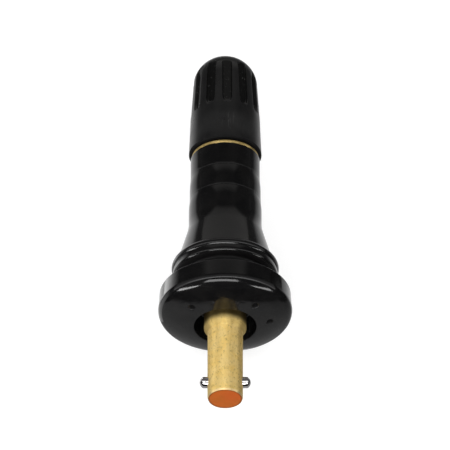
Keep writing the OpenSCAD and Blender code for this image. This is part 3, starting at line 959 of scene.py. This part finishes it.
def cap_piece():
    """The cap's shell. Its attribute sunk is 1 on the floors of the flutes, for the material."""
    rows, sunk = cap_rows()
    psi = rows[-1][2]
    roof_s = CROWN_TOP_S - CROWN_WALL
    crown = [(r, CROWN_TOP_S, psi) for r in CROWN_RINGS]
    bore = [
        (HOLLOW_R - HOLLOW_EDGE, roof_s, psi),
        (HOLLOW_R, roof_s - HOLLOW_EDGE, psi),
        (HOLLOW_R, LEDGE_S, psi),
        (CAP_BORE_R + MOUTH_GAP, LEDGE_S, psi),
    ]
    every_row = [(0.0, roof_s)] + bore + rows + crown + [(0.0, CROWN_TOP_S)]
    shell = skin("cap_shell", every_row, psi, sharp=CAP_SHARP)
    before = np.zeros(1 + len(bore) * len(psi))
    after = np.zeros(1 + len(crown) * len(psi))
    values = np.concatenate([before] + sunk + [after])
    shell.data.attributes.new("sunk", "FLOAT", "POINT").data.foreach_set("value", values)
    dress(shell, CAP, "cap", "cap_plastic", "dust_cap")


def cap_thread_piece():
    """The thread inside the cap, as a ring that is let into the wall of its bore."""
    psi = turn_steps(CAP_THREAD_COLUMNS)
    wall = CAP_BORE_R + 0.05
    back = wall + 0.1
    low = CAP_S + 0.5
    high = LEDGE_S - 1.25
    run_out = 0.7
    rows = [(wall, low)]
    for s in np.arange(low, high, THREAD_PITCH / CAP_THREAD_ROWS)[1:]:
        fade = min(1, (s - low) / run_out, (high - s) / run_out)
        crest = wall - (THREAD_DEPTH + 0.05) * fade
        cut = THREAD_DEPTH * thread_cut(s / THREAD_PITCH - psi / TAU)
        rows.append((np.maximum(THREAD_R + THREAD_GAP - cut, crest), s))
    rows += [(wall, high), (back, high), (back, low)]
    piece = skin("cap_thread", rows, psi, closed=True, sharp=CAP_SHARP)
    dress(piece, CAP, "cap", "cap_plastic")


# Valve core

def spring_piece():
    """The core's spring, built as a fixed coil; the real one shortens as the plunger is pressed."""
    inset = SPRING_WIRE_R + SPRING_GAP
    turn = np.linspace(0, TAU * SPRING_TURNS, SPRING_RINGS)
    rise = np.linspace(SPRING_FOOT_S + inset, SPRING_TOP_S - inset, SPRING_RINGS)
    points, faces = [], []
    for t, s in zip(turn, rise):
        for k in turn_steps(SPRING_SIDES):
            r = SPRING_COIL_R + SPRING_WIRE_R * math.cos(k)
            points.append((r * math.cos(t), s + SPRING_WIRE_R * math.sin(k), -r * math.sin(t)))
    for first in range(0, len(points) - SPRING_SIDES, SPRING_SIDES):
        for k in range(SPRING_SIDES):
            a, b = first + k, first + (k + 1) % SPRING_SIDES
            faces.append((a, a + SPRING_SIDES, b + SPRING_SIDES, b))
    faces.append(tuple(range(SPRING_SIDES)))
    faces.append(tuple(range(len(points) - SPRING_SIDES, len(points)))[::-1])
    piece = solid("spring_coil", np.array(points), faces, ROUND_SHARP)
    dress(piece, WIRE, "valve", "spring_wire", "core_spring")
    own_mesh(piece)


def dress_core():
    """Gives the CAD nodes that stay their materials."""
    for name, material in CORE_MATERIALS.items():
        materials = frame["nodes"][name].data.materials
        materials.clear()
        materials.append(material)


# Floor, cards, light and camera

FLOOR_REACH = 8000
FLOOR_Z = -9.51
MIRROR_CENTRE = (-14, 8, -9.5)
MIRROR_NEAR = 12
MIRROR_FAR = 75

MAT_Z = -9.503
FRONT_CENTRE = (0, -5, -9.5)
FRONT_R = 28
CARD_TOP_Z = 7
SIDE_CARDS = (("left_card", -20), ("right_card", 30))
SIDE_FROM_Y = 2
SIDE_TO_Y = 20
SIDE_FOOT_Z = -9.4

ROOM = (0.045, 0.045, 0.046)
BACK_CARD = (0.43, 0.42, 0.41)
BACK_CARD_TOP = (0.8, 1.4)
BACK_CARD_SIDE = (0.52, 0.80)
BACK_CARD_NEAR = (0.0, 0.1)
ARCH = (3.6, 3.6, 3.6)
ARCH_LEAN = 0.2
ARCH_Y = 0.03
ARCH_EDGE = (0.05, 0.12)
ARCH_FOOT = (0.3, 0.8)
VEIL = (0.5, 0.5, 0.5)
VEIL_FRONT = (-0.08, 0.0)
VEIL_BACK = (0.25, 0.66)

LAMP_AIM = (0, 10, 0)
LAMP_DISTANCE = 2.4
CAMERA_ELEVATION = 56.2
CAMERA_DISTANCE = 2.4
CAMERA_TARGET = (-0.03, 11.89, 0)
IMAGE_WIDTH = 450
PIXELS_PER_MM = 7.05
SENSOR_WIDTH = 36


def diffuse(tree, level):
    """A matt grey surface."""
    return node(tree, "ShaderNodeBsdfDiffuse", Color=(level, level, level, 1)).outputs[0]


def floor_material():
    """White to the camera. Reflections see it white near the valve and dark further away."""
    material, tree = bare_material("pale_floor")
    path = node(tree, "ShaderNodeLightPath").outputs
    apart = distance(tree, object_coords(tree), MIRROR_CENTRE)
    near = remap(tree, apart, MIRROR_NEAR * MM, MIRROR_FAR * MM, 0.95, 0.05)
    seen = maths(tree, "MAXIMUM", path["Is Camera Ray"], path["Is Transmission Ray"])
    seen = maths(tree, "MAXIMUM", seen, times(tree, near, path["Is Glossy Ray"]))
    glow = node(tree, "ShaderNodeEmission", Strength=0.79).outputs[0]
    white = node(tree, "ShaderNodeAddShader", [(diffuse(tree, 0.36), 0), (glow, 1)])
    lit, black = diffuse(tree, 0.86), diffuse(tree, 0.02)
    unlit = node(tree, "ShaderNodeMixShader", [(path["Is Glossy Ray"], 0), (lit, 1), (black, 2)])
    mixed = node(tree, "ShaderNodeMixShader",
                 [(seen, 0), (unlit.outputs[0], 1), (white.outputs[0], 2)])
    out = node(tree, "ShaderNodeOutputMaterial", [(mixed.outputs[0], "Surface")])
    out.is_active_output = True
    return material


def stage_piece(name, points, faces, material):
    """An object from points in millimetres that isn't part of the valve."""
    mesh = bpy.data.meshes.new(name)
    mesh.from_pydata([[c * MM for c in p] for p in points], [], faces)
    mesh.materials.append(material)
    piece = place(name, mesh)
    return piece


def floor_piece():
    """The floor, a wide flat square just under the valve."""
    signs = ((-1, -1), (1, -1), (1, 1), (-1, 1))
    points = [(x * FLOOR_REACH, y * FLOOR_REACH, FLOOR_Z) for x, y in signs]
    stage_piece("floor", points, [(0, 1, 2, 3)], floor_material())


def card(name, rows, strength):
    """A card through rows of points, which only reflections show. strength makes its glow."""
    count = len(rows[0])
    points = [p for row in rows for p in row]
    faces = []
    for first in range(0, len(points) - count, count):
        faces += [(i, i + 1, i + count + 1, i + count) for i in range(first, first + count - 1)]
    material, tree = bare_material(name)
    glow = node(tree, "ShaderNodeEmission", [(strength(tree, object_coords(tree)), "Strength")])
    node(tree, "ShaderNodeOutputMaterial", [(glow.outputs[0], "Surface")])
    piece = stage_piece(name, points, faces, material)
    piece.visible_camera = False
    piece.visible_diffuse = False
    piece.visible_shadow = False
    piece.visible_transmission = False


def ring_rows(profile, start, stop):
    """Rows of points round the front of the valve, for radii and heights, between two angles."""
    turn = np.radians(np.linspace(start, stop, 51))
    x, y = FRONT_CENTRE[:2]
    return [[(x + r * math.sin(t), y - r * math.cos(t), z) for t in turn] for r, z in profile]


def front_glow(tree, coords):
    """Grey at the foot of the front card and black above, dimmer close to the valve and at the right."""
    x, _, height = split(tree, coords)
    apart = distance(tree, coords, FRONT_CENTRE)
    level = remap(tree, height, FRONT_CENTRE[2] * MM, -6 * MM, 0.45, 0.01)
    level = times(tree, level, remap(tree, apart, 6 * MM, 24 * MM, 0.7, 1))
    return times(tree, level, remap(tree, x, 8 * MM, 26 * MM, 1, 0.5))


def side_glow(tree, coords):
    """Pale at the foot of a side card's middle, fading to its ends and top, and dimmer at the right."""
    x, y, height = split(tree, coords)
    level = remap(tree, y, SIDE_FROM_Y * MM, 9 * MM, 0, 1)
    level = times(tree, level, remap(tree, y, 11 * MM, SIDE_TO_Y * MM, 1, 0))
    level = times(tree, level, remap(tree, height, -6 * MM, CARD_TOP_Z * MM, 1, 0))
    return times(tree, level, remap(tree, x, -20 * MM, 20 * MM, 3.0, 0.6))


def cards():
    """A grey mat with a dark wall round the front of the valve, and a pale card at either side."""
    mat = ((1, MAT_Z), (12, MAT_Z), (FRONT_R, MAT_Z))
    wall = ((FRONT_R, -8), (FRONT_R, -4), (FRONT_R, CARD_TOP_Z))
    card("front_card", ring_rows(mat + wall, -88, 114), front_glow)
    card("front_mat", ring_rows(((1, MAT_Z), (13, MAT_Z)), -140, -88), front_glow)
    for name, x in SIDE_CARDS:
        along = range(SIDE_FROM_Y, SIDE_TO_Y + 1, 2)
        card(name, [[(x, y, z) for y in along] for z in (SIDE_FOOT_Z, CARD_TOP_Z)], side_glow)


def lamp(name, azimuth, elevation, width, height, radiance):
    """A soft panel, sized in degrees, that faces the object. Azimuth 0 is in front and 90 is at +X."""
    a, e = math.radians(azimuth), math.radians(elevation)
    away = Vector((math.sin(a) * math.cos(e), -math.cos(a) * math.cos(e), math.sin(e)))
    light = bpy.data.lights.new(name, "AREA")
    light.shape = "RECTANGLE"
    light.size = 2 * LAMP_DISTANCE * math.tan(math.radians(width) / 2)
    light.size_y = 2 * LAMP_DISTANCE * math.tan(math.radians(height) / 2)
    light.energy = radiance * math.pi * light.size * light.size_y
    held = place(name, light)
    held.location = away * LAMP_DISTANCE + Vector(LAMP_AIM) * MM
    held.rotation_mode = "QUATERNION"
    held.rotation_quaternion = away.to_track_quat("Z", "Y")
    held.visible_camera = False


def studio():
    """A dim room, a grey card low behind the object, and a lit arch with a soft veil over it."""
    world = bpy.data.worlds.new("studio")
    bpy.context.scene.world = world
    world.use_nodes = True
    tree = world.node_tree
    x, y, z = split(tree, node(tree, "ShaderNodeTexCoord").outputs["Generated"])
    ahead = maths(tree, "MAXIMUM", y, 0.02)
    across = maths(tree, "DIVIDE", maths(tree, "ABSOLUTE", x), ahead)
    wide = remap(tree, across, *BACK_CARD_SIDE, 1, 0)
    tall = remap(tree, maths(tree, "DIVIDE", z, ahead), *BACK_CARD_TOP, 1, 0)
    behind = times(tree, times(tree, wide, tall), remap(tree, y, *BACK_CARD_NEAR, 0, 1))
    lean = maths(tree, "ADD", times(tree, z, ARCH_LEAN), y)
    aside = maths(tree, "ABSOLUTE", maths(tree, "SUBTRACT", lean, ARCH_Y))
    arch = times(tree, remap(tree, aside, *ARCH_EDGE, 1, 0), remap(tree, z, *ARCH_FOOT, 0.35, 1))
    veil = times(tree, remap(tree, lean, *VEIL_BACK, 1, 0), remap(tree, lean, *VEIL_FRONT, 0, 1))
    level = blend(tree, behind, ROOM, BACK_CARD)
    level = blend(tree, veil, level, VEIL)
    level = blend(tree, arch, level, ARCH)
    background = next(n for n in tree.nodes if n.type == "BACKGROUND")
    tree.links.new(level, background.inputs["Color"])
    background.inputs["Strength"].default_value = 1.0


def camera():
    """The camera in front of and above the valve, at the photo's angle and scale."""
    elevation = math.radians(CAMERA_ELEVATION)
    back = Vector((0, -math.cos(elevation), math.sin(elevation)))
    data = bpy.data.cameras.new("camera")
    data.sensor_width = SENSOR_WIDTH
    data.lens = SENSOR_WIDTH * CAMERA_DISTANCE / (IMAGE_WIDTH / PIXELS_PER_MM * MM)
    data.clip_start = 0.05
    data.clip_end = 50
    held = place("camera", data)
    held.location = Vector(CAMERA_TARGET) * MM + back * CAMERA_DISTANCE
    held.rotation_mode = "QUATERNION"
    held.rotation_quaternion = (-back).to_track_quat("-Z", "Y")
    bpy.context.scene.camera = held


rubber_piece()
stem_piece()
pin_piece()
plug_piece()
cap_piece()
cap_thread_piece()
spring_piece()
dress_core()

floor_piece()
cards()
studio()
lamp("panel_front", azimuth=-7, elevation=43, width=44, height=22, radiance=6.5)
lamp("panel_left", azimuth=-48, elevation=5.8, width=42, height=10, radiance=13.0)
lamp("panel_right", azimuth=46, elevation=5.8, width=38, height=10, radiance=8.2)
camera()
bpy.context.scene.view_settings.view_transform = "Standard"
